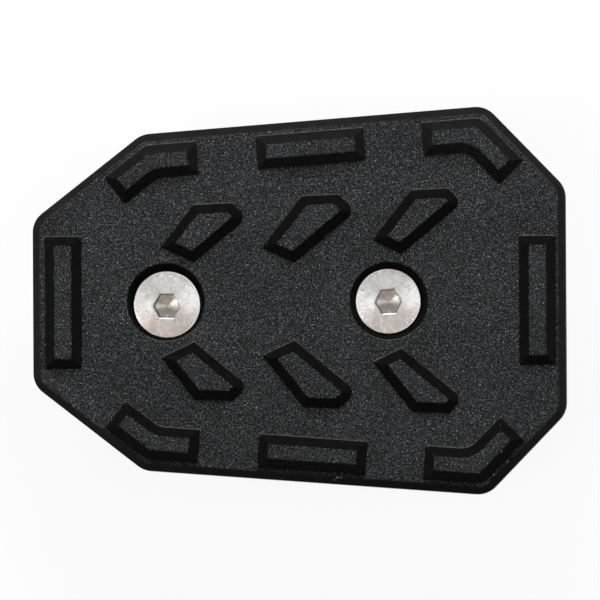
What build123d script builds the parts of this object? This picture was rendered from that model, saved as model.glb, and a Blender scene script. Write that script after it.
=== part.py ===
from build123d import *
import os
from math import atan, cos, degrees, radians, sin

# Bolt-on foot pad for a motorcycle brake pedal. Lengths in millimetres, angles in degrees.
# +X points to the wide end, +Z up out of the tread, origin on the surface that the pad stands on,
# under the middle of the plate. The pad is symmetric about the XZ plane, apart from the lean of its screws.

# Outline of the tread plate at its lower edge: an octagon that widens towards +X
plate_length = 95.9
narrow_end_width = 29.7  # flat at the narrow end
narrow_shoulder_width = 60.6  # where the long sides begin
wide_shoulder_width = 70.0  # where the long sides end
wide_end_width = 40.4  # flat at the wide end
narrow_cut = 19.75  # length along X of the corner cuts at the narrow end
wide_cut = 14.3  # the same at the wide end
corner_radius = 4.5

# Section of the tread plate
plate_thickness = 6.0
wall_draft = 3.0  # the mould opens upwards
edge_chamfer = 1.25
lower_edge_break = 0.4

# Raised tread bars
tread_height = 1.8
flank_run = 1.8  # how far a flank runs out over the tread height
tread_inset = 2.2  # from the outline to the foot of the outer flanks
narrow_end_inset = 2.5  # the same at the bar across the narrow end
wide_end_inset = 2.0  # the same at the wide end
side_bar_width = 6.1
end_bar_width = 6.6
narrow_side_gap = 10.6  # between a side bar and the chevron on its narrow side
wide_side_gap = 10.3  # the same on its wide side
narrow_chevron_end_leg = 9.4  # leg along the corner cut, from the bend at the outer foot
narrow_chevron_side_leg = 9.2  # leg along the long side
wide_chevron_end_leg = 10.8
wide_chevron_side_leg = 10.8
inner_bend_radius = 4.0
narrow_end_bar_length = 23.8
wide_end_bar_length = 23.2

# Blades: the six slanted bars about the middle, drawn from their pointed tip
lead_angle = 51.8  # long edge that faces the narrow end
crest_angle = 2.3  # short edge beside the plate's long side
nose_angle = -45.0  # edge that drops from the crest towards the wide end
trail_angle = 39.8  # long edge that faces the wide end
heel_angle = -25.3  # short edge from the tip towards the middle
blade_nose_radius = 1.85

# Screws: stainless M6 countersunk with hexagon socket, 20 long
screw_diameter = 6.0
screw_length = 20.0
screw_tip_chamfer = 0.6
head_diameter = 11.8
head_land = 0.3  # straight rim above the cone
socket_width = 4.0  # across flats
socket_depth = 2.5
socket_mouth_chamfer = 0.3
socket_point_depth = 0.9  # drill point under the socket

# Holes in the plate
screw_spacing = 39.9
screw_pair_offset = -3.82  # middle of the screw pair from the middle of the plate
hole_play = 0.5  # radial, between screw and through hole
counterbore_diameter = 13.8
counterbore_depth = 0.9
seat_gap = 0.02  # between a head and the cone of its hole
narrow_screw_lean = (0.12, -0.42)  # how far a screw sits off the axis of its hole
wide_screw_lean = (-0.15, -0.05)
narrow_socket_turn = -1.0
wide_socket_turn = 3.6

# Clamp bar under the pedal tip
pedal_gap = 9.0  # room for the tip of the motorcycle's own pedal
clamp_length = 58.0
clamp_width = 18.0
clamp_thickness = 8.0
clamp_corner_radius = 6.0
clamp_chamfer = 0.8
thread_clearance = 0.05  # radial, between the screw and its threaded hole
thread_mouth_chamfer = 0.5

# Levels
clamp_top = clamp_thickness
plate_bottom = clamp_top + pedal_gap
plate_top = plate_bottom + plate_thickness


def outline_corners():
    """Sharp corners of the outline, anticlockwise from the wide end on the +Y side."""
    end = plate_length / 2
    upper = [
        Vector(end, wide_end_width / 2),
        Vector(end - wide_cut, wide_shoulder_width / 2),
        Vector(-end + narrow_cut, narrow_shoulder_width / 2),
        Vector(-end, narrow_end_width / 2),
    ]
    lower = [Vector(corner.X, -corner.Y) for corner in reversed(upper)]
    return upper + lower


def polar(length, angle):
    """Vector in the plane of the plate from a length and a direction."""
    return Vector(length * cos(radians(angle)), length * sin(radians(angle)))


def across(edge, towards):
    """Unit vector square to an edge, on the side that another vector points to."""
    rest = towards - edge * towards.dot(edge)
    return rest.normalized()


def inset_point(corner, first, second, depth):
    """Point inside a corner at the same depth from both edges, given as unit vectors."""
    return corner + (first + second) * (depth / first.cross(second).length)


def raised(profile):
    """Tread bar with sloping flanks, standing on the face of the plate."""
    slope = degrees(atan(flank_run / tread_height))
    return extrude(Pos(0, 0, plate_top) * profile, amount=tread_height, taper=slope)


def chevron(before, corner, after, first_leg, second_leg):
    """Bent bar that follows a corner of the outline."""
    first = (before - corner).normalized()
    second = (after - corner).normalized()
    outer_bend = inset_point(corner, first, second, tread_inset)
    inner_bend = inset_point(corner, first, second, tread_inset + side_bar_width)
    first_end = outer_bend + first * first_leg
    second_end = outer_bend + second * second_leg
    points = [
        first_end,
        outer_bend,
        second_end,
        second_end + across(second, first) * side_bar_width,
        inner_bend,
        first_end + across(first, second) * side_bar_width,
    ]
    profile = Polygon(*points, align=None)
    outer_vertex = profile.vertices().sort_by_distance(outer_bend)[0]
    profile = fillet(outer_vertex, corner_radius - tread_inset)
    inner_vertex = profile.vertices().sort_by_distance(inner_bend)[0]
    return raised(fillet(inner_vertex, inner_bend_radius))


def side_bar(wide_end, wide_shoulder, narrow_shoulder, narrow_end):
    """Straight bar on a long side, between the two chevrons."""
    along = (narrow_shoulder - wide_shoulder).normalized()
    wide_cut_edge = (wide_end - wide_shoulder).normalized()
    narrow_cut_edge = (narrow_end - narrow_shoulder).normalized()
    wide_bend = inset_point(wide_shoulder, along, wide_cut_edge, tread_inset)
    narrow_bend = inset_point(narrow_shoulder, -along, narrow_cut_edge, tread_inset)
    start = wide_bend + along * (wide_chevron_side_leg + wide_side_gap)
    stop = narrow_bend - along * (narrow_chevron_side_leg + narrow_side_gap)
    inward = across(along, narrow_cut_edge) * side_bar_width
    return raised(Polygon(start, stop, stop + inward, start + inward, align=None))


def end_bar(outer_x, inward, inset, length):
    """Straight bar across an end of the plate."""
    middle = outer_x + inward * (inset + end_bar_width / 2)
    return raised(Pos(middle, 0) * Rectangle(end_bar_width, length))


def blade(tip, lead, crest, heel):
    """Slanted bar with a pointed tip and a nose that runs out to the wide end."""
    lead_top = tip + polar(lead, lead_angle)
    crest_end = lead_top + polar(crest, crest_angle)
    heel_end = tip + polar(heel, heel_angle)
    nose = Axis(crest_end, polar(1, nose_angle)).intersect(Axis(heel_end, polar(1, trail_angle)))
    profile = Polygon(tip, heel_end, nose, crest_end, lead_top, align=None)
    nose_vertex = profile.vertices().sort_by_distance(nose)[0]
    return raised(fillet(nose_vertex, blade_nose_radius))


def tread_bars():
    """All fourteen bars: the +Y half is drawn and mirrored, the end bars lie across both."""
    wide_end, wide_shoulder, narrow_shoulder, narrow_end = outline_corners()[:4]
    half = [
        chevron(
            wide_end, wide_shoulder, narrow_shoulder,
            wide_chevron_end_leg, wide_chevron_side_leg,
        ),
        side_bar(wide_end, wide_shoulder, narrow_shoulder, narrow_end),
        chevron(
            wide_shoulder, narrow_shoulder, narrow_end,
            narrow_chevron_side_leg, narrow_chevron_end_leg,
        ),
        blade(tip=Vector(-24.76, 9.87), lead=9.7, crest=7.0, heel=6.7),
        blade(tip=Vector(-6.64, 9.6), lead=11.9, crest=6.5, heel=6.5),
        blade(tip=Vector(13.09, 10.86), lead=11.5, crest=6.6, heel=5.9),
    ]
    mirrored = [mirror(bar, about=Plane.XZ) for bar in half]
    ends = [
        end_bar(-plate_length / 2, 1, narrow_end_inset, narrow_end_bar_length),
        end_bar(plate_length / 2, -1, wide_end_inset, wide_end_bar_length),
    ]
    return half + mirrored + ends


def hole_axes():
    """Centres of the two holes in the plate, narrow end first."""
    return [
        Vector(screw_pair_offset - screw_spacing / 2, 0),
        Vector(screw_pair_offset + screw_spacing / 2, 0),
    ]


def screw_axes():
    """Centres of the two screws, which lean to one side of their holes."""
    leans = [Vector(*narrow_screw_lean), Vector(*wide_screw_lean)]
    return [hole + lean for hole, lean in zip(hole_axes(), leans)]


def countersunk_hole():
    """Through hole with its cone and counterbore, mouth at Z = 0."""
    hole_radius = screw_diameter / 2 + hole_play
    mouth_radius = counterbore_diameter / 2
    cone_end = counterbore_depth + mouth_radius - hole_radius
    section = Polyline(
        (0, tread_height),
        (mouth_radius, tread_height),
        (mouth_radius, -counterbore_depth),
        (hole_radius, -cone_end),
        (hole_radius, -plate_thickness - tread_height),
        (0, -plate_thickness - tread_height),
        close=True,
    )
    return revolve(Plane.XZ * make_face(section), Axis.Z)


def tread_plate():
    """The casting that the foot presses on."""
    outline = Polygon(*outline_corners(), align=None)
    outline = fillet(outline.vertices(), corner_radius)
    plate = extrude(Pos(0, 0, plate_bottom) * outline, amount=plate_thickness, taper=wall_draft)
    plate = chamfer(plate.faces().sort_by(Axis.Z)[-1].edges(), edge_chamfer)
    plate = chamfer(plate.faces().sort_by(Axis.Z)[0].edges(), lower_edge_break)
    for bar in tread_bars():
        plate += bar
    for hole in hole_axes():
        plate -= Pos(hole.X, hole.Y, plate_top) * countersunk_hole()
    return plate


def head_depth(lean):
    """How far a head lies under the face when its cone seats on the near side of the hole's cone."""
    rim_gap = (counterbore_diameter - head_diameter) / 2 - Vector(*lean).length
    return counterbore_depth + rim_gap - head_land - seat_gap


def hexagon_socket():
    """Socket with its chamfered mouth and drill point, mouth at Z = 0."""
    hexagon = RegularPolygon(socket_width / 2, 6, major_radius=False)
    corner = socket_width / 2 / cos(radians(30))
    mouth = Cone(corner, corner + socket_mouth_chamfer, socket_mouth_chamfer)
    point = Cone(0, socket_width / 2, socket_point_depth)
    socket = extrude(hexagon, amount=-socket_depth)
    socket += Pos(0, 0, -socket_mouth_chamfer / 2) * mouth
    return socket + Pos(0, 0, -socket_depth - socket_point_depth / 2) * point


def countersunk_screw():
    """Screw with the face of its head at Z = 0, thread left plain."""
    shank = screw_diameter / 2
    head = head_diameter / 2
    section = Polyline(
        (0, 0),
        (head, 0),
        (head, -head_land),
        (shank, -head_land - (head - shank)),
        (shank, -screw_length + screw_tip_chamfer),
        (shank - screw_tip_chamfer, -screw_length),
        (0, -screw_length),
        close=True,
    )
    return revolve(Plane.XZ * make_face(section), Axis.Z) - hexagon_socket()


def placed_screw(axis, lean, turn):
    """Screw seated in the cone of its hole."""
    return Pos(axis.X, axis.Y, plate_top - head_depth(lean)) * Rot(0, 0, turn) * countersunk_screw()


def threaded_hole():
    """Threaded hole with chamfered mouths, centred on the bar's thickness, thread left plain."""
    radius = screw_diameter / 2 + thread_clearance
    hole = Cylinder(radius, clamp_thickness)
    mouth = Cone(radius, radius + thread_mouth_chamfer, thread_mouth_chamfer)
    for turn in (0, 180):
        hole += Rot(turn, 0, 0) * Pos(0, 0, (clamp_thickness - thread_mouth_chamfer) / 2) * mouth
    return hole


def clamp_bar():
    """Bar with two threaded holes that is drawn up under the pedal tip."""
    middle = sum(screw_axes(), Vector()) / 2
    outline = Pos(middle.X, 0) * RectangleRounded(clamp_length, clamp_width, clamp_corner_radius)
    bar = extrude(outline, amount=clamp_thickness)
    faces = bar.faces().sort_by(Axis.Z)
    bar = chamfer(faces[0].edges() + faces[-1].edges(), clamp_chamfer)
    for axis in screw_axes():
        bar -= Pos(axis.X, axis.Y, clamp_thickness / 2) * threaded_hole()
    return bar


def main():
    os.makedirs("parts", exist_ok=True)
    narrow_axis, wide_axis = screw_axes()
    parts = {
        "tread_plate": tread_plate(),
        "narrow_end_screw": placed_screw(narrow_axis, narrow_screw_lean, narrow_socket_turn),
        "wide_end_screw": placed_screw(wide_axis, wide_screw_lean, wide_socket_turn),
        "clamp_bar": clamp_bar(),
    }
    for name, shape in parts.items():
        export_step(shape, f"parts/{name}.step")


main()
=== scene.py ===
# Bolt-on foot pad for a motorcycle brake pedal, dressed for a studio picture from straight above.
import bmesh
import bpy
from math import cos, pi, radians, sin, sqrt
from mathutils import Matrix, Vector


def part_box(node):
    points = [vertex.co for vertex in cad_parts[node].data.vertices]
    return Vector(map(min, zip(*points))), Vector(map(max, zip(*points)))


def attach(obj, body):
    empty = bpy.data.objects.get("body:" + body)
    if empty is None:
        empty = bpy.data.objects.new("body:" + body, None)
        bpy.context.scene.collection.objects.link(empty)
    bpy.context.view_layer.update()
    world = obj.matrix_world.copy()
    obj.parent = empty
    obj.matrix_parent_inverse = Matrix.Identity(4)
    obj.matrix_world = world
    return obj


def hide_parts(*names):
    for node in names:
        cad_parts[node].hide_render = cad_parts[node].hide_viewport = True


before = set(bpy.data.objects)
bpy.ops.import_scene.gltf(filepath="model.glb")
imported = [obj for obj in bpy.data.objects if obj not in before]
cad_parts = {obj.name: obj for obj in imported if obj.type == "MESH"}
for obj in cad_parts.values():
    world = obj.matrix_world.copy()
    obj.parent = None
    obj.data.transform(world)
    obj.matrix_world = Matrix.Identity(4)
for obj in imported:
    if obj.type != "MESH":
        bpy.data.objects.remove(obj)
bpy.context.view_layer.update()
mm = 0.001
noiseLow, noiseHigh = 0.3, 0.7  # nearly all that a noise texture gives lies between these
print("frame loaded:", ", ".join(sorted(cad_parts)))


def linearColour(hexText):
    channels = [int(hexText[i:i + 2], 16) / 255 for i in (1, 3, 5)]
    linear = [c / 12.92 if c <= 0.04045 else ((c + 0.055) / 1.055) ** 2.4 for c in channels]
    return (*linear, 1.0)


# Settings go to the node's inputs where it has one of that name or number, and otherwise to the node itself.
# Two are given whole: the stops of a colour ramp, and the span of a Map Range, from two values to two values.
# A link names its source node, whose first output is used, or the pair (node, output).
def addNode(tree, kind, settings={}, links={}):
    node = tree.nodes.new("ShaderNode" + kind)
    for name, value in settings.items():
        if name == "stops":
            ramp = node.color_ramp.elements
            while len(ramp) < len(value):
                ramp.new(0.5)
            for stop, (place, colour) in zip(ramp, value):
                stop.position, stop.color = place, linearColour(colour)
        elif name == "span":
            for socket, limit in zip(("From Min", "From Max", "To Min", "To Max"), value):
                node.inputs[socket].default_value = limit
        elif isinstance(name, int) or name in node.inputs:
            node.inputs[name].default_value = value
        else:
            setattr(node, name, value)
    for name, source in links.items():
        origin, output = source if isinstance(source, tuple) else (source, 0)
        tree.links.new(origin.outputs[output], node.inputs[name])
    return node


def newMaterial(name):
    material = bpy.data.materials.new(name)
    material.use_nodes = True
    material.node_tree.nodes.clear()
    return material, material.node_tree


def dressNode(node, material):
    node.data.materials.clear()
    node.data.materials.append(material)


# Place on the piece in millimetres, so that every pattern has a real size
def placeInMm(tree):
    place = addNode(tree, "TexCoord")
    return addNode(tree, "VectorMath", {"operation": "SCALE", "Scale": 1 / mm}, {0: (place, "Object")})


# Die-cast aluminium with a matt black coat. The mould gives the level faces a sand grain that scatters light
# and looks dark grey, with its glints painted in as pale specks. The sloping flanks are smooth and look
# almost black.
# Lengths and places are in mm. Slope values are the upward part of the softened surface normal.
plateLow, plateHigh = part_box("tread_plate")
grainedCoat = {
    "faceHeight": plateHigh.z / mm - 1.8,  # level of the face, which the bars rise 1.8 above
    "undersideHeight": plateLow.z / mm,
    "skin": 0.01,  # tolerance on the underside
    "grainSize": 0.27,  # between grains
    "grainHeight": 0.035,
    "grainStops": [(0.30, "#161616"), (0.52, "#282929"), (0.80, "#6b6d72")],
    "speckSize": 0.42,  # between the pale specks
    "speckShape": (0.30, 0.05),  # from a speck's edge to its bright core, in shares of speckSize
    "speckChoice": (0.55, 1.0),  # random tone of a cell, from no speck to a full one
    # pale specks are painted glints of the grain's facets
    "speckGlintColour": "#a4a8ae",
    "flankColour": "#0f0f0f",
    "rimLitColour": "#1b1b1b",  # chamfer and walls round the outside, painted lighter than the flanks as the light that falls there
    "levelSlope": (0.85, 0.90),  # from flank to level face
    "levelWander": (-0.17, 0.11),  # added to the slope at random, for a ragged border
    "bladeBox": ((2.0, 29.0), (0.0, 20.8)),  # middle and half the size in X and Y, round the six blades
    "bladeTop": (0.9, 1.3),  # above the face, from a blade's foot to its top
    "bladeSteepness": 1.8,  # the grain stops at the edge of a blade's top, and just past it on the other bars
    "ovalMiddle": -3.8,  # X of an oval round both screw holes, which stay as black as the flanks
    "ovalReach": (34, 12),  # half its length and half its width
    "barFlanks": (-0.1, 0.0),  # from the face, where the flanks of the bars begin
    "farLight": (19.0, 27.0, 1.0, 0.25),  # Y, and how much of the bars' flanks keeps the flank colour there; the rest takes the rim's painted light
    "nearShade": (-34.0, -25.0),  # Y, from a rim in painted shade, with the flank colour, to one with the rim's painted light
    "dustSize": 1.6,  # between the dusty patches
    "dustTone": (0.75, 1.25),
    "cloudSize": 9.0,  # between the faintly paler patches of the grain
    "cloudTone": (0.86, 1.14),
    "faceDarkening": (-32.0, -5.0, 0.88, 1.0),  # Y, and the tone of the grain there
    "stripShadow": (-24.0, 8.0, 0.42, 0.0),  # Y, and the tone that the strips lose there as painted shadow
    # narrow strips of the face between a bar and the rim, darkened towards -Y as painted shadow of the bars:
    # middle, turn in degrees, half the length and half the width, for the +Y half, mirrored to the other
    "strips": [(37.14, 28.68, -46.0, 4.86, 0.32),
               (26.84, 32.59, 4.3, 4.86, 0.32),
               (2.04, 30.71, 4.3, 9.71, 0.32),
               (-22.46, 28.85, 4.3, 4.25, 0.32),
               (-31.54, 25.30, 38.0, 4.35, 0.32),
               (-45.92, 0.0, 90.0, 11.90, 0.47),
               (46.17, 0.0, 90.0, 11.60, 0.22)],
    "stripMargin": 0.2,  # soft border outside a strip
    "stripTaper": 0.5,  # soft border inside its ends
    "filletHighlightColour": "#6d6e6c",  # painted highlight: thin bright line along the edges that face +Y
    "filletTilt": (0.32, 0.44),  # +Y part of the normal
    "filletSlope": (0.80, 0.86),
    "filletHeight": (0.5, 0.2),  # above the face
    # inside of the rim along the two edges that face +Y: direction, and distance from the origin
    "rimLines": [((-0.075, 0.997, 0.0), 30.47), ((-0.616, 0.788, 0.0), 39.37)],
    "chipColour": "#8c8d8e",
    "chipHeight": (-1.6, -1.3),  # from the face, so that no chip is on the wall
    "chipCore": 0.4,  # share of the radius
    # bare specks on the lower edge: X, Y and radius
    "chips": [(6.76, -31.52, 0.21), (7.33, -31.50, 0.18), (5.98, -31.98, 0.09), (6.36, -31.78, 0.09),
              (6.48, -32.12, 0.08), (7.58, -30.70, 0.10), (36.08, -26.98, 0.17), (37.15, -28.81, 0.16),
              (34.75, -31.12, 0.15)],
    "edgeRadius": 0.42,  # where a flank meets a level face
    "roundSlope": (0.71, 0.76),  # below it no rounding shows, so that the outer edges stay dark
    "roundStretch": 2.6,  # how much further the rounding leans than the softened normal does
    "levelRoughness": 0.62,
    "flankRoughness": 0.42,
    "specular": 0.01,  # low, as the coat scatters nearly all its light
}


# Heights above the face, as heights above the origin
def fromFace(heights):
    return [grainedCoat["faceHeight"] + height for height in heights]


# 1 on the level faces that carry the grain and 0 on the rest
def levelShare(tree, parts, slope, grain):
    (middleX, halfLength), (middleY, halfWidth) = grainedCoat["bladeBox"]
    along = addNode(tree, "Math", {"operation": "COMPARE", 1: middleX, 2: halfLength}, {0: (parts, "X")})
    across = addNode(tree, "Math", {"operation": "COMPARE", 1: middleY, 2: halfWidth}, {0: (parts, "Y")})
    blades = addNode(tree, "Math", {"operation": "MULTIPLY"}, {0: along, 1: across})
    aloft = addNode(tree, "MapRange", {"span": fromFace(grainedCoat["bladeTop"])}, {"Value": (parts, "Z")})
    blades = addNode(tree, "Math", {"operation": "MULTIPLY"}, {0: blades, 1: aloft})
    gain = grainedCoat["bladeSteepness"]
    steeper = addNode(tree, "Math", {"operation": "MULTIPLY_ADD", 1: gain, 2: 1 - gain}, {0: (slope, "Z")})
    border = addNode(tree, "Mix", {"data_type": "FLOAT"}, {0: blades, 2: (slope, "Z"), 3: steeper})
    wander = addNode(tree, "MapRange", {"span": (noiseLow, noiseHigh, *grainedCoat["levelWander"])},
                     {"Value": grain})
    border = addNode(tree, "Math", {"operation": "ADD"}, {0: border, 1: wander})
    return addNode(tree, "MapRange", {"span": grainedCoat["levelSlope"]}, {"Value": border})


def grainAndGlintColour(tree, millimetres, grain):
    tone = addNode(tree, "ValToRGB", {"stops": grainedCoat["grainStops"]}, {0: grain})
    # pale specks painted in as the grain's glints
    specks = addNode(tree, "TexVoronoi", {"Scale": 1 / grainedCoat["speckSize"]}, {"Vector": millimetres})
    cell = addNode(tree, "SeparateColor", {}, {0: (specks, "Color")})
    shape = addNode(tree, "MapRange", {"span": grainedCoat["speckShape"]}, {"Value": (specks, "Distance")})
    choice = addNode(tree, "MapRange", {"span": grainedCoat["speckChoice"]}, {"Value": (cell, "Red")})
    share = addNode(tree, "Math", {"operation": "MULTIPLY"}, {0: shape, 1: choice})
    return addNode(tree, "Mix", {"data_type": "RGBA", 7: linearColour(grainedCoat["speckGlintColour"])},
                   {0: share, 6: tone})


# 1 where the rim colour paints in light: on the rim and the underside, and on the far side part of the bars'
#                                         flanks too;
# towards -Y the rim falls back to the flank colour as painted shade
def rimLightShare(tree, millimetres, parts):
    halfLength, halfWidth = grainedCoat["ovalReach"]
    oval = addNode(tree, "VectorMath", {"operation": "MULTIPLY_ADD", 1: (1 / halfLength, 1 / halfWidth, 0),
                                        2: (-grainedCoat["ovalMiddle"] / halfLength, 0, 0)}, {0: millimetres})
    oval = addNode(tree, "VectorMath", {"operation": "LENGTH"}, {0: oval})
    outside = addNode(tree, "Math", {"operation": "GREATER_THAN", 1: 1.0}, {0: (oval, "Value")})
    underside = grainedCoat["undersideHeight"] + grainedCoat["skin"]
    under = addNode(tree, "Math", {"operation": "LESS_THAN", 1: underside}, {0: (parts, "Z")})
    outside = addNode(tree, "Math", {"operation": "MAXIMUM"}, {0: outside, 1: under})
    near = addNode(tree, "MapRange", {"span": grainedCoat["nearShade"]}, {"Value": (parts, "Y")})
    outside = addNode(tree, "Math", {"operation": "MULTIPLY"}, {0: outside, 1: near})
    bars = addNode(tree, "MapRange", {"span": fromFace(grainedCoat["barFlanks"])}, {"Value": (parts, "Z")})
    far = addNode(tree, "MapRange", {"span": grainedCoat["farLight"]}, {"Value": (parts, "Y")})
    darkFlanks = addNode(tree, "Math", {"operation": "MULTIPLY"}, {0: bars, 1: far})
    return addNode(tree, "Math", {"operation": "SUBTRACT", "use_clamp": True}, {0: outside, 1: darkFlanks})


def stripShare(tree, millimetres, parts):
    mirrored = addNode(tree, "VectorMath", {"operation": "ABSOLUTE"}, {0: millimetres})
    mirrored = addNode(tree, "SeparateXYZ", {}, {0: mirrored})
    mirrored = addNode(tree, "CombineXYZ", {}, {0: (parts, "X"), 1: (mirrored, "Y")})
    margin, taper = grainedCoat["stripMargin"], grainedCoat["stripTaper"]
    share = addNode(tree, "Value")
    for x, y, turn, halfLength, halfWidth in grainedCoat["strips"]:
        turned = addNode(tree, "VectorRotate", {"rotation_type": "Z_AXIS", "Center": (x, y, 0),
                                                "Angle": -radians(turn)}, {"Vector": mirrored})
        away = addNode(tree, "VectorMath", {"operation": "SUBTRACT", 1: (x, y, 0)}, {0: turned})
        away = addNode(tree, "VectorMath", {"operation": "ABSOLUTE"}, {0: away})
        away = addNode(tree, "SeparateXYZ", {}, {0: away})
        along = addNode(tree, "MapRange", {"span": (halfLength + margin, halfLength - taper)},
                        {"Value": (away, "X")})
        across = addNode(tree, "MapRange", {"span": (halfWidth + margin, halfWidth)}, {"Value": (away, "Y")})
        strip = addNode(tree, "Math", {"operation": "MULTIPLY"}, {0: along, 1: across})
        share = addNode(tree, "Math", {"operation": "MAXIMUM"}, {0: share, 1: strip})
    return share


# 1 along the feet of the edges that face +Y, where a highlight is painted
def filletHighlightShare(tree, millimetres, parts, slope):
    tilt = addNode(tree, "MapRange", {"span": grainedCoat["filletTilt"]}, {"Value": (slope, "Y")})
    shallow = addNode(tree, "MapRange", {"span": grainedCoat["filletSlope"]}, {"Value": (slope, "Z")})
    share = addNode(tree, "Math", {"operation": "MULTIPLY"}, {0: tilt, 1: shallow})
    foot = addNode(tree, "MapRange", {"span": fromFace(grainedCoat["filletHeight"])}, {"Value": (parts, "Z")})
    share = addNode(tree, "Math", {"operation": "MULTIPLY"}, {0: share, 1: foot})
    for direction, distance in grainedCoat["rimLines"]:
        outwards = addNode(tree, "VectorMath", {"operation": "DOT_PRODUCT", 1: direction}, {0: millimetres})
        inside = addNode(tree, "Math", {"operation": "LESS_THAN", 1: distance}, {0: (outwards, "Value")})
        share = addNode(tree, "Math", {"operation": "MULTIPLY"}, {0: share, 1: inside})
    return share


def chipShare(tree, millimetres, parts):
    flatPlace = addNode(tree, "VectorMath", {"operation": "MULTIPLY", 1: (1, 1, 0)}, {0: millimetres})
    share = addNode(tree, "Value")
    for x, y, radius in grainedCoat["chips"]:
        away = addNode(tree, "VectorMath", {"operation": "DISTANCE", 1: (x, y, 0)}, {0: flatPlace})
        chip = addNode(tree, "MapRange", {"span": (radius, radius * grainedCoat["chipCore"])},
                       {"Value": (away, "Value")})
        share = addNode(tree, "Math", {"operation": "MAXIMUM"}, {0: share, 1: chip})
    above = addNode(tree, "MapRange", {"span": fromFace(grainedCoat["chipHeight"])}, {"Value": (parts, "Z")})
    return addNode(tree, "Math", {"operation": "MULTIPLY"}, {0: share, 1: above})


def makeGrainedCoat():
    material, tree = newMaterial("blackCoatSandGrain")
    millimetres = placeInMm(tree)
    parts = addNode(tree, "SeparateXYZ", {}, {0: millimetres})
    grain = addNode(tree, "TexNoise", {"Scale": 1 / grainedCoat["grainSize"], "Detail": 2.0,
                                       "Roughness": 0.6}, {"Vector": millimetres})
    soft = addNode(tree, "Bevel", {"samples": 8, "Radius": grainedCoat["edgeRadius"] * mm})
    slope = addNode(tree, "SeparateXYZ", {}, {0: soft})
    level = levelShare(tree, parts, slope, grain)

    # smooth flanks and rim, with painted light on the rim and far flanks, painted shade on the near rim, and
    # random dust
    smooth = addNode(tree, "Mix", {"data_type": "RGBA", 6: linearColour(grainedCoat["flankColour"]),
                                   7: linearColour(grainedCoat["rimLitColour"])},
                     {0: rimLightShare(tree, millimetres, parts)})
    dust = addNode(tree, "TexNoise", {"Scale": 1 / grainedCoat["dustSize"], "Detail": 4.0, "Roughness": 0.65},
                   {"Vector": millimetres})
    dustTone = addNode(tree, "MapRange", {"span": (noiseLow, noiseHigh, *grainedCoat["dustTone"])},
                       {"Value": dust})
    litAndDusty = addNode(tree, "VectorMath", {"operation": "SCALE"}, {0: (smooth, 2), "Scale": dustTone})

    # grain, in faint clouds and darker towards -Y, with painted shadow of the bars in the strips
    cloud = addNode(tree, "TexNoise", {"Scale": 1 / grainedCoat["cloudSize"], "Detail": 3.0},
                    {"Vector": millimetres})
    tone = addNode(tree, "MapRange", {"span": (noiseLow, noiseHigh, *grainedCoat["cloudTone"])},
                   {"Value": cloud})
    faceDarkening = addNode(tree, "MapRange", {"span": grainedCoat["faceDarkening"]}, {"Value": (parts, "Y")})
    tone = addNode(tree, "Math", {"operation": "MULTIPLY"}, {0: tone, 1: faceDarkening})
    # painted shadow of the bars in the strips, deepest towards -Y
    stripShadow = addNode(tree, "MapRange", {"span": grainedCoat["stripShadow"]}, {"Value": (parts, "Y")})
    stripShadowLoss = addNode(tree, "Math", {"operation": "MULTIPLY"},
                        {0: stripShare(tree, millimetres, parts), 1: stripShadow})
    tone = addNode(tree, "Math", {"operation": "SUBTRACT"}, {0: tone, 1: stripShadowLoss})
    grained = addNode(tree, "VectorMath", {"operation": "SCALE"},
                      {0: (grainAndGlintColour(tree, millimetres, grain), 2), "Scale": tone})

    colour = addNode(tree, "Mix", {"data_type": "RGBA"}, {0: level, 6: litAndDusty, 7: grained})
    # painted highlight along the edges that face +Y
    colour = addNode(tree, "Mix", {"data_type": "RGBA", 7: linearColour(grainedCoat["filletHighlightColour"])},
                     {0: filletHighlightShare(tree, millimetres, parts, slope), 6: (colour, 2)})
    colour = addNode(tree, "Mix", {"data_type": "RGBA", 7: linearColour(grainedCoat["chipColour"])},
                     {0: chipShare(tree, millimetres, parts), 6: (colour, 2)})
    roughness = addNode(tree, "MapRange", {"span": (0.0, 1.0, grainedCoat["flankRoughness"],
                                                    grainedCoat["levelRoughness"])}, {"Value": level})

    true = addNode(tree, "NewGeometry")
    rounded = addNode(tree, "MapRange", {"span": grainedCoat["roundSlope"]}, {"Value": (slope, "Z")})
    stretch = grainedCoat["roundStretch"]
    fullRound = addNode(tree, "VectorMath", {"operation": "MULTIPLY", 1: (stretch, stretch, 1)}, {0: soft})
    fullRound = addNode(tree, "VectorMath", {"operation": "NORMALIZE"}, {0: fullRound})
    normal = addNode(tree, "Mix", {"data_type": "VECTOR"}, {0: rounded, 4: (true, "Normal"), 5: fullRound})
    height = addNode(tree, "Math", {"operation": "MULTIPLY"}, {0: grain, 1: level})
    bump = addNode(tree, "Bump", {"Strength": 1.0, "Distance": grainedCoat["grainHeight"] * mm},
                   {"Height": height, "Normal": (normal, 1)})
    surface = addNode(tree, "BsdfPrincipled", {"Specular IOR Level": grainedCoat["specular"]},
                      {"Base Color": (colour, 2), "Roughness": roughness, "Normal": bump})
    addNode(tree, "OutputMaterial", {}, {"Surface": surface})
    return material


dressNode(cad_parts["tread_plate"], makeGrainedCoat())
print("tread plate coated")

# Clamp bar: aluminium with the same black coat, sprayed on a milled bar, so plain and faintly rippled
plainCoat = {
    "colour": "#141415",
    "rippleSize": 1.6,  # mm across a ripple of the coat
    "rippleHeight": 0.03,  # mm
    "edgeRadius": 0.3,  # mm
    "roughness": (0.42, 0.58),
    "specular": 0.3,
}


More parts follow.
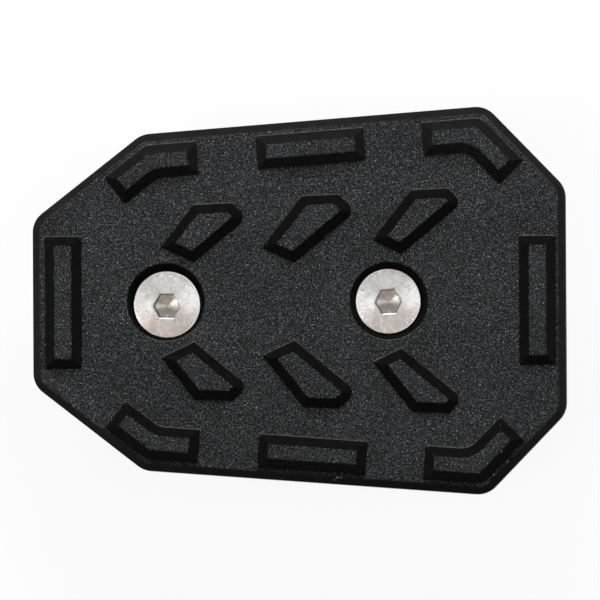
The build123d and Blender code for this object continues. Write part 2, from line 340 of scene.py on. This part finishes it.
def makePlainCoat():
    material, tree = newMaterial("blackCoatPlain")
    ripple = addNode(tree, "TexNoise", {"Scale": 1 / plainCoat["rippleSize"], "Detail": 3.0},
                     {"Vector": placeInMm(tree)})
    roughness = addNode(tree, "MapRange", {"span": (0.0, 1.0, *plainCoat["roughness"])}, {"Value": ripple})
    soft = addNode(tree, "Bevel", {"samples": 6, "Radius": plainCoat["edgeRadius"] * mm})
    bump = addNode(tree, "Bump", {"Strength": 0.6, "Distance": plainCoat["rippleHeight"] * mm},
                   {"Height": ripple, "Normal": soft})
    surface = addNode(tree, "BsdfPrincipled", {"Base Color": linearColour(plainCoat["colour"]),
                                               "Specular IOR Level": plainCoat["specular"]},
                      {"Roughness": roughness, "Normal": bump})
    addNode(tree, "OutputMaterial", {}, {"Surface": surface})
    return material


dressNode(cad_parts["clamp_bar"], makePlainCoat())
print("clamp bar coated")

# Screws: M6 x 20 countersunk with hexagon socket, lengths in mm
screw = {
    "segments": 72,
    "rimRound": 0.16,
    "rimSteps": 4,
    "land": 0.3,  # straight edge of the head, above its cone
    "faceRings": (3.0, 4.2, 5.2),  # radii between the socket and the rim
    "socketWidth": 4.26,
    "socketFloorWidth": 3.88,
    "socketLip": 0.2,
    "lipDepth": 0.11,
    "socketDepth": 2.5,
    "pointDepth": 0.46,  # of the socket's pointed floor
    "pointPower": 1.6,  # 1 is a plain cone, and more rounds its tip
    "floorRings": (0.15, 0.3, 0.45, 0.6, 0.75, 0.88, 0.985),  # shares of half the floor's width
    "neckRound": (0.15, 0.1),  # above and below the corner between cone and shank
    "threadStart": 0.2,  # below the cone
    "threadFade": 0.4,  # below the cone, where the thread starts to deepen
    "length": 20.0,
    "tipChamfer": 0.6,
    "tipRadius": 1.6,
    "tipHollow": 0.1,
    "threadRadius": 2.985,
    "rootRadius": 2.387,
    "pitch": 1.0,
    "crestShare": 0.125,  # of half a pitch, as is the next
    "flankShare": 0.625,
    "rowsPerPitch": 16,
    "shankRadius": 3.0,
    "sharpAngle": 28,  # degrees between faces from which an edge is sharp
}


def hexagonRadius(angle, width):
    return width / 2 / cos(angle % (pi / 3) - pi / 6)


def threadRadius(angle, depth, start, end):
    phase = (depth / screw["pitch"] + angle / (2 * pi)) % 1
    offCrest = abs(phase - 0.5) * 2
    cut = min(max((offCrest - screw["crestShare"]) / screw["flankShare"], 0), 1)
    fadeIn = min(max((depth - start) / screw["pitch"], 0), 1)
    radius = screw["threadRadius"] - (screw["threadRadius"] - screw["rootRadius"]) * cut * fadeIn
    return min(radius, screw["threadRadius"] - max(depth - end, 0))


# The screw is a stack of rings from the socket's point over the rim and down to the tip. A ring's radius is a
# number or a function of the angle, and its depth is measured down from the face.
def makeScrewMesh(name, headRadius, socketShift):
    mesh = bmesh.new()
    count = screw["segments"]
    rings = []

    def addRing(reach, depth, shift=(0, 0)):
        ring = []
        for i in range(count):
            angle = 2 * pi * i / count
            radius = reach(angle) if callable(reach) else reach
            ring.append(mesh.verts.new(((radius * cos(angle) + shift[0]) * mm,
                                        (radius * sin(angle) + shift[1]) * mm, -depth * mm)))
        rings.append(ring)

    for share in screw["floorRings"]:
        rise = screw["pointDepth"] * (1 - share ** screw["pointPower"])
        addRing(screw["socketFloorWidth"] / 2 * share, screw["socketDepth"] + rise, socketShift)
    addRing(lambda angle: hexagonRadius(angle, screw["socketFloorWidth"]), screw["socketDepth"], socketShift)
    addRing(lambda angle: hexagonRadius(angle, screw["socketWidth"]), screw["lipDepth"], socketShift)
    socketWalls = len(rings) - 1
    lip = screw["socketWidth"] + 2 * screw["socketLip"]
    addRing(lambda angle: hexagonRadius(angle, lip), 0, socketShift)
    for radius in screw["faceRings"]:
        addRing(radius, 0)
    for step in range(screw["rimSteps"] + 1):
        turn = step * pi / 2 / screw["rimSteps"]
        addRing(headRadius - screw["rimRound"] * (1 - sin(turn)), screw["rimRound"] * (1 - cos(turn)))
    addRing(headRadius, screw["land"])

    coneEnd = screw["land"] + headRadius - screw["shankRadius"]
    above, below = screw["neckRound"]
    addRing(screw["shankRadius"] + above, coneEnd - above)
    addRing(screw["threadRadius"], coneEnd + below)
    top = coneEnd + screw["threadStart"]
    fadeStart = coneEnd + screw["threadFade"]
    threadEnd = screw["length"] - screw["tipChamfer"]
    rows = int((screw["length"] - top) / screw["pitch"] * screw["rowsPerPitch"])
    for row in range(rows + 1):
        depth = top + (screw["length"] - top) * row / rows
        addRing(lambda angle: threadRadius(angle, depth, fadeStart, threadEnd), depth)
    addRing(screw["tipRadius"], screw["length"])

    point = mesh.verts.new((socketShift[0] * mm, socketShift[1] * mm,
                            -(screw["socketDepth"] + screw["pointDepth"]) * mm))
    tip = mesh.verts.new((0, 0, -(screw["length"] - screw["tipHollow"]) * mm))
    for k, (inner, outer) in enumerate(zip(rings, rings[1:])):
        for i in range(count):
            j = (i + 1) % count
            face = mesh.faces.new((inner[i], outer[i], outer[j], inner[j]))
            face.material_index = 1 if k < socketWalls else 0
    for i in range(count):
        j = (i + 1) % count
        mesh.faces.new((point, rings[0][i], rings[0][j])).material_index = 1
        mesh.faces.new((tip, rings[-1][j], rings[-1][i]))
    bmesh.ops.recalc_face_normals(mesh, faces=mesh.faces)
    data = bpy.data.meshes.new(name)
    mesh.to_mesh(data)
    mesh.free()
    data.shade_smooth()
    data.set_sharp_from_angle(angle=radians(screw["sharpAngle"]))
    return data


# Stainless steel, turned on a lathe: satin, with fine rings round the axis that stretch its highlights
# outwards. Lengths are in mm.
turnedSteel = {
    "colour": "#a7a6a5",
    "warmReflectionColour": "#9c9089",  # painted warm reflection on the side towards -Y
    "warmthFall": -0.11,  # share of the painted warmth that each mm of Y adds
    "cloudSize": 2.2,  # between the clouds of film and wear
    "roughness": (0.30, 0.42),
    "anisotropy": 0.8,
    "ringSpacing": 0.3,  # coarser than the real 0.1 so that it shows
    "ringLength": 2.0,  # radians
    "ringHeight": 0.02,
    "smearSize": 1.3,  # between the clouds left by tumbling
    "smearTone": (0.8, 1.2),
    "mottleSize": 0.36,  # fine mottle of the satin face, within the clouds
    "mottleTone": (-0.1, 0.1),
    "highlightAndPolish": "#dbd9d6",  # painted highlight along the rim, and bare worn steel in scratch marks and strokes
    "strokeScale": (0.8, 15.0),  # strokes per mm outwards and per radian
    "strokeShape": (0.52, 0.7),
    "strokeReach": (4.1, 5.2),
    # painted highlight along the rim, broken into patches by the clouds
    "rimBand": (-0.34, -0.22),  # from the rim
    "rimHighlightPatches": (0.4, 0.62, 0.0, 0.45),
    "dirt": "#5b5652",
    "markCore": 0.4,  # share of a mark that has its full colour
}


# Each mark is an oval in the polar plane: radius and angle of its middle, half its width in mm, half its
# length in degrees.
def markShare(tree, polar, marks):
    share = addNode(tree, "Value")
    for radius, angle, width, turn in marks:
        scale = (1 / width, 1 / radians(turn), 0)
        shift = (-radius * scale[0], -radians(angle) * scale[1], 0)
        away = addNode(tree, "VectorMath", {"operation": "MULTIPLY_ADD", 1: scale, 2: shift}, {0: polar})
        away = addNode(tree, "VectorMath", {"operation": "LENGTH"}, {0: away})
        mark = addNode(tree, "MapRange", {"span": (1.0, turnedSteel["markCore"])}, {"Value": (away, "Value")})
        share = addNode(tree, "Math", {"operation": "MAXIMUM"}, {0: share, 1: mark})
    return share


def makeTurnedSteel(name, spot):
    material, tree = newMaterial(name)
    millimetres = placeInMm(tree)
    parts = addNode(tree, "SeparateXYZ", {}, {0: millimetres})
    flatPlace = addNode(tree, "CombineXYZ", {}, {0: (parts, "X"), 1: (parts, "Y")})
    reach = addNode(tree, "VectorMath", {"operation": "LENGTH"}, {0: flatPlace})
    angle = addNode(tree, "Math", {"operation": "ARCTAN2"}, {0: (parts, "Y"), 1: (parts, "X")})
    polar = addNode(tree, "CombineXYZ", {}, {0: (reach, "Value"), 1: angle})

    ringScale = (1 / turnedSteel["ringSpacing"], 1 / turnedSteel["ringLength"], 1.0)
    ringPlace = addNode(tree, "VectorMath", {"operation": "MULTIPLY", 1: ringScale}, {0: polar})
    rings = addNode(tree, "TexNoise", {"Scale": 1.0, "Detail": 3.0, "Roughness": 0.6}, {"Vector": ringPlace})
    bump = addNode(tree, "Bump", {"Strength": 0.25, "Distance": turnedSteel["ringHeight"] * mm},
                   {"Height": rings})
    tangent = addNode(tree, "Tangent", {"direction_type": "RADIAL", "axis": "Z"})
    cloud = addNode(tree, "TexNoise", {"Scale": 1 / turnedSteel["cloudSize"], "Detail": 3.0},
                    {"Vector": millimetres})
    roughness = addNode(tree, "MapRange", {"span": (noiseLow, noiseHigh, *turnedSteel["roughness"])},
                        {"Value": cloud})

    # painted warm reflection, stronger towards -Y
    warmth = addNode(tree, "Math", {"operation": "MULTIPLY_ADD", 1: turnedSteel["warmthFall"], 2: spot["warmth"]},
                   {0: (parts, "Y")})
    warmth = addNode(tree, "Math", {"operation": "ADD", "use_clamp": True}, {0: warmth, 1: cloud})
    tinted = addNode(tree, "Mix", {"data_type": "RGBA", 6: linearColour(turnedSteel["colour"]),
                                   7: linearColour(turnedSteel["warmReflectionColour"])}, {0: warmth})
    smear = addNode(tree, "TexNoise", {"Scale": 1 / turnedSteel["smearSize"], "Detail": 4.0,
                                       "Roughness": 0.65, "Distortion": 0.6}, {"Vector": millimetres})
    smearTone = addNode(tree, "MapRange", {"span": (noiseLow, noiseHigh, *turnedSteel["smearTone"])},
                        {"Value": smear})
    mottle = addNode(tree, "TexNoise", {"Scale": 1 / turnedSteel["mottleSize"], "Detail": 2.0},
                     {"Vector": millimetres})
    mottleTone = addNode(tree, "MapRange", {"span": (noiseLow, noiseHigh, *turnedSteel["mottleTone"])},
                         {"Value": mottle})
    tone = addNode(tree, "Math", {"operation": "ADD"}, {0: smearTone, 1: mottleTone})
    steel = addNode(tree, "VectorMath", {"operation": "SCALE"}, {0: (tinted, 2), "Scale": tone})

    # bright where a highlight is painted along the rim and in the long arcs of the bright marks, in scratch
    # marks, and in short radial strokes left when the head was formed
    strokePlace = addNode(tree, "VectorMath", {"operation": "MULTIPLY", 1: (*turnedSteel["strokeScale"], 0)},
                          {0: polar})
    strokes = addNode(tree, "TexNoise", {"Scale": 1.0, "Detail": 1.0}, {"Vector": strokePlace})
    strokeShare = addNode(tree, "MapRange", {"span": (*turnedSteel["strokeShape"], 0.0, spot["strokes"])},
                          {"Value": strokes})
    outer = addNode(tree, "MapRange", {"span": turnedSteel["strokeReach"]}, {"Value": (reach, "Value")})
    strokeShare = addNode(tree, "Math", {"operation": "MULTIPLY"}, {0: strokeShare, 1: outer})
    band = [spot["headRadius"] + inset for inset in turnedSteel["rimBand"]]
    rim = addNode(tree, "MapRange", {"span": band}, {"Value": (reach, "Value")})
    rimHighlightPatches = addNode(tree, "MapRange", {"span": turnedSteel["rimHighlightPatches"]}, {"Value": cloud})
    rim = addNode(tree, "Math", {"operation": "MULTIPLY"}, {0: rim, 1: rimHighlightPatches})
    bright = addNode(tree, "Math", {"operation": "MAXIMUM"}, {0: rim, 1: strokeShare})
    brightMarks = markShare(tree, polar, spot["bright"])
    bright = addNode(tree, "Math", {"operation": "MAXIMUM"}, {0: bright, 1: brightMarks})

    colour = addNode(tree, "Mix", {"data_type": "RGBA", 7: linearColour(turnedSteel["highlightAndPolish"])},
                     {0: bright, 6: steel})
    colour = addNode(tree, "Mix", {"data_type": "RGBA", 7: linearColour(turnedSteel["dirt"])},
                     {0: markShare(tree, polar, spot["dark"]), 6: (colour, 2)})
    surface = addNode(tree, "BsdfPrincipled", {"Metallic": 1.0, "Anisotropic": turnedSteel["anisotropy"],
                                               "Anisotropic Rotation": 0.25},
                      {"Base Color": (colour, 2), "Roughness": roughness, "Normal": bump, "Tangent": tangent})
    addNode(tree, "OutputMaterial", {}, {"Surface": surface})
    return material


# Inside of the socket: the same steel, punched, so it has soft dents and no turned rings
socketSteel = {
    "colour": "#84807b",
    "wallShadeColour": "#3f3e3c",  # walls painted dark as shade inside the socket
    "floorSlope": (0.2, 0.5),  # upward part of the normal, from wall to floor
    "dentSize": 1.1,  # mm
    "dentDepth": 0.12,  # mm
    "roughness": 0.25,
}


def makeSocketSteel():
    material, tree = newMaterial("punchedSteel")
    dents = addNode(tree, "TexNoise", {"Scale": 1 / socketSteel["dentSize"], "Detail": 1.0},
                    {"Vector": placeInMm(tree)})
    bump = addNode(tree, "Bump", {"Strength": 0.5, "Distance": socketSteel["dentDepth"] * mm},
                   {"Height": dents})
    # walls painted dark as shade, floor in the steel's own colour
    facing = addNode(tree, "SeparateXYZ", {}, {0: (addNode(tree, "NewGeometry"), "True Normal")})
    floorShare = addNode(tree, "MapRange", {"span": socketSteel["floorSlope"]}, {"Value": (facing, "Z")})
    colour = addNode(tree, "Mix", {"data_type": "RGBA", 6: linearColour(socketSteel["wallShadeColour"]),
                                   7: linearColour(socketSteel["colour"])}, {0: floorShare})
    surface = addNode(tree, "BsdfPrincipled", {"Metallic": 1.0, "Roughness": socketSteel["roughness"]},
                      {"Base Color": (colour, 2), "Normal": bump})
    addNode(tree, "OutputMaterial", {}, {"Surface": surface})
    return material


# What differs from screw to screw: turn in degrees, lengths in mm, how far the painted warm reflection and
# the strokes show, and the bright and dark marks; the long bright arcs near the rim are painted highlights
screwSpots = {
    "narrow_end_screw": {
        "turn": -1.0,
        "headRadius": 6.0,
        "socketShift": (-0.05, -0.25),
        "warmth": -0.25,
        "strokes": 0.12,
        "bright": [(5.83, 58, 0.13, 30), (5.83, -38, 0.13, 24), (5.1, 82, 0.09, 5.5), (4.87, 73.5, 0.09, 5),
                   (5.2, 101, 0.3, 1.4), (3.67, 70, 0.1, 5), (4.65, 44, 0.1, 1.6), (5.48, -26.7, 0.12, 1.4)],
        "dark": [(5.93, 168, 0.1, 14), (3.13, -121, 0.14, 3), (3.39, -63, 0.14, 3), (5.9, 171, 0.14, 2)],
    },
    "wide_end_screw": {
        "turn": 3.6,
        "headRadius": 5.85,
        "socketShift": (0.03, -0.03),
        "warmth": -0.45,
        "strokes": 0.5,
        "bright": [(5.69, 112, 0.13, 34), (5.69, -50, 0.13, 30), (5.1, -52, 0.4, 1.2)],
        "dark": [(5.0, 152, 0.35, 1.2), (5.82, 12, 0.12, 2.2), (2.52, 64, 0.14, 3.5), (2.48, -122, 0.16, 4)],
    },
}
punchedSteel = makeSocketSteel()
for nodeName, spot in screwSpots.items():
    mesh = makeScrewMesh(nodeName + "Mesh", spot["headRadius"], spot["socketShift"])
    piece = bpy.data.objects.new("threaded_" + nodeName, mesh)
    bpy.context.scene.collection.objects.link(piece)
    low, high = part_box(nodeName)
    piece.location = ((low.x + high.x) / 2, (low.y + high.y) / 2, high.z)
    piece.rotation_euler = (0, 0, radians(spot["turn"]))
    mesh.materials.append(makeTurnedSteel(nodeName + "Steel", spot))
    mesh.materials.append(punchedSteel)
    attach(piece, "root")
    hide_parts(nodeName)
    print(nodeName, "at", [round(c / mm, 3) for c in piece.location], "tip at", round(low.z / mm, 3))
print("screws turned")

# Studio: white floor that fades into a white background, soft key from +Y, softer light from the sides.
# Lengths are in metres, and a softbox has its place, its size, its watts and its colour. It faces the origin.
studio = {
    "floorWhite": 0.9,  # share of the floor that shows as plain white, the rest takes the shadow
    "paper": "#f4f4f4",
    "floorReach": 6.0,
    "floorHeight": -0.0001,
    "skyHorizon": 0.02,
    "skyTop": 0.04,
    "skyCurve": 1.5,  # more keeps the sky dark further up
    "softboxes": {
        "keySoftbox": ((0, 0.62, 0.4), (0.7, 0.25), 5.8, "#ffffff"),
        "leftSoftbox": ((-0.7, 0, 0.28), (0.25, 0.7), 1.45, "#ffffff"),
        "rightSoftbox": ((0.7, 0, 0.28), (0.25, 0.7), 1.75, "#ffffff"),
        "highLeftSoftbox": ((-0.5, 0, 1.05), (0.35, 0.9), 1.6, "#ffffff"),
        "highRightSoftbox": ((0.5, 0, 1.05), (0.35, 0.9), 1.6, "#ffffff"),
        "socketLamp": ((-0.54, -0.24, 0.80), (0.2, 0.2), 1.8, "#ffffff"),  # small, for the sockets' glints
        "frontSoftbox": ((0, -0.5, 1.1), (0.6, 0.3), 0.5, "#ffd8b4"),
    },
}


# 1 for the rays that see the white background: the camera's own, and those off metal or through glass
def backgroundShare(tree):
    ray = addNode(tree, "LightPath")
    sees = addNode(tree, "Math", {"operation": "ADD"}, {0: (ray, "Is Camera Ray"), 1: (ray, "Is Glossy Ray")})
    return addNode(tree, "Math", {"operation": "ADD", "use_clamp": True},
                   {0: sees, 1: (ray, "Is Transmission Ray")})


def makeFloor():
    material, tree = newMaterial("paleFloor")
    share = addNode(tree, "Math", {"operation": "MULTIPLY", 1: studio["floorWhite"]},
                    {0: backgroundShare(tree)})
    paper = addNode(tree, "BsdfDiffuse", {"Color": linearColour(studio["paper"])})
    white = addNode(tree, "Emission", {"Strength": 1.0})
    mixed = addNode(tree, "MixShader", {}, {0: share, 1: paper, 2: white})
    # clear from below, so that views from there see the part
    side = addNode(tree, "NewGeometry")
    clear = addNode(tree, "BsdfTransparent")
    oneSided = addNode(tree, "MixShader", {}, {0: (side, "Backfacing"), 1: mixed, 2: clear})
    addNode(tree, "OutputMaterial", {}, {"Surface": oneSided})
    mesh = bmesh.new()
    bmesh.ops.create_grid(mesh, x_segments=2, y_segments=2, size=studio["floorReach"])
    data = bpy.data.meshes.new("floorMesh")
    mesh.to_mesh(data)
    mesh.free()
    floor = bpy.data.objects.new("floor", data)
    bpy.context.scene.collection.objects.link(floor)
    floor.location.z = studio["floorHeight"]
    data.materials.append(material)


def makeSky():
    world = bpy.data.worlds.new("studioSky")
    bpy.context.scene.world = world
    world.use_nodes = True
    tree = world.node_tree
    tree.nodes.clear()
    place = addNode(tree, "TexCoord")
    direction = addNode(tree, "SeparateXYZ", {}, {0: (place, "Generated")})
    height = addNode(tree, "Math", {"operation": "POWER", 1: studio["skyCurve"], "use_clamp": True},
                     {0: (direction, "Z")})
    strength = addNode(tree, "MapRange", {"span": (0.0, 1.0, studio["skyHorizon"], studio["skyTop"])},
                       {"Value": height})
    soft = addNode(tree, "Background", {"Color": (1, 1, 1, 1)}, {"Strength": strength})
    white = addNode(tree, "Background", {"Color": (1, 1, 1, 1), "Strength": 1.0})
    mixed = addNode(tree, "MixShader", {}, {0: backgroundShare(tree), 1: soft, 2: white})
    addNode(tree, "OutputWorld", {}, {"Surface": mixed})


def addSoftbox(name, place, size, power, colour):
    lamp = bpy.data.lights.new(name, "AREA")
    lamp.shape = "RECTANGLE"
    lamp.size, lamp.size_y = size
    lamp.energy = power
    lamp.color = linearColour(colour)[:3]
    box = bpy.data.objects.new(name, lamp)
    bpy.context.scene.collection.objects.link(box)
    box.location = place
    box.rotation_euler = (-Vector(place)).to_track_quat("-Z", "Y").to_euler()


makeFloor()
makeSky()
for name, softbox in studio["softboxes"].items():
    addSoftbox(name, *softbox)
print("studio lit")

# Camera: one metre above the tread, leaning 2 degrees towards the wide end
shot = {
    "aim": (0.233, 0.254, 23.0),  # mm, the point at the middle of the picture
    "distance": 1000.0,  # mm
    "leanX": 1.8,  # degrees towards +X
    "leanY": -0.4,
    "roll": 0.31,
    "frameWidth": 107.3,  # mm across the picture at the tread
    "sensorWidth": 36.0,  # mm
    "clip": (0.01, 20.0),  # metres
}


def makeCamera():
    aim = Vector(shot["aim"]) * mm
    back = Vector((sin(radians(shot["leanX"])), sin(radians(shot["leanY"])), 0))
    back.z = sqrt(1 - back.length_squared)
    data = bpy.data.cameras.new("shotFromAbove")
    data.sensor_width = shot["sensorWidth"]
    data.lens = shot["sensorWidth"] * shot["distance"] / shot["frameWidth"]
    data.clip_start, data.clip_end = shot["clip"]
    camera = bpy.data.objects.new("shotFromAbove", data)
    bpy.context.scene.collection.objects.link(camera)
    camera.location = aim + back * shot["distance"] * mm
    roll = radians(shot["roll"])
    up = Vector((sin(roll), cos(roll), 0))
    right = up.cross(back).normalized()
    up = back.cross(right)
    facing = Matrix((right, up, back)).transposed().to_4x4()
    camera.matrix_world = Matrix.Translation(camera.location) @ facing
    bpy.context.scene.camera = camera


makeCamera()
bpy.context.scene.view_settings.view_transform = "Standard"
print("camera set")
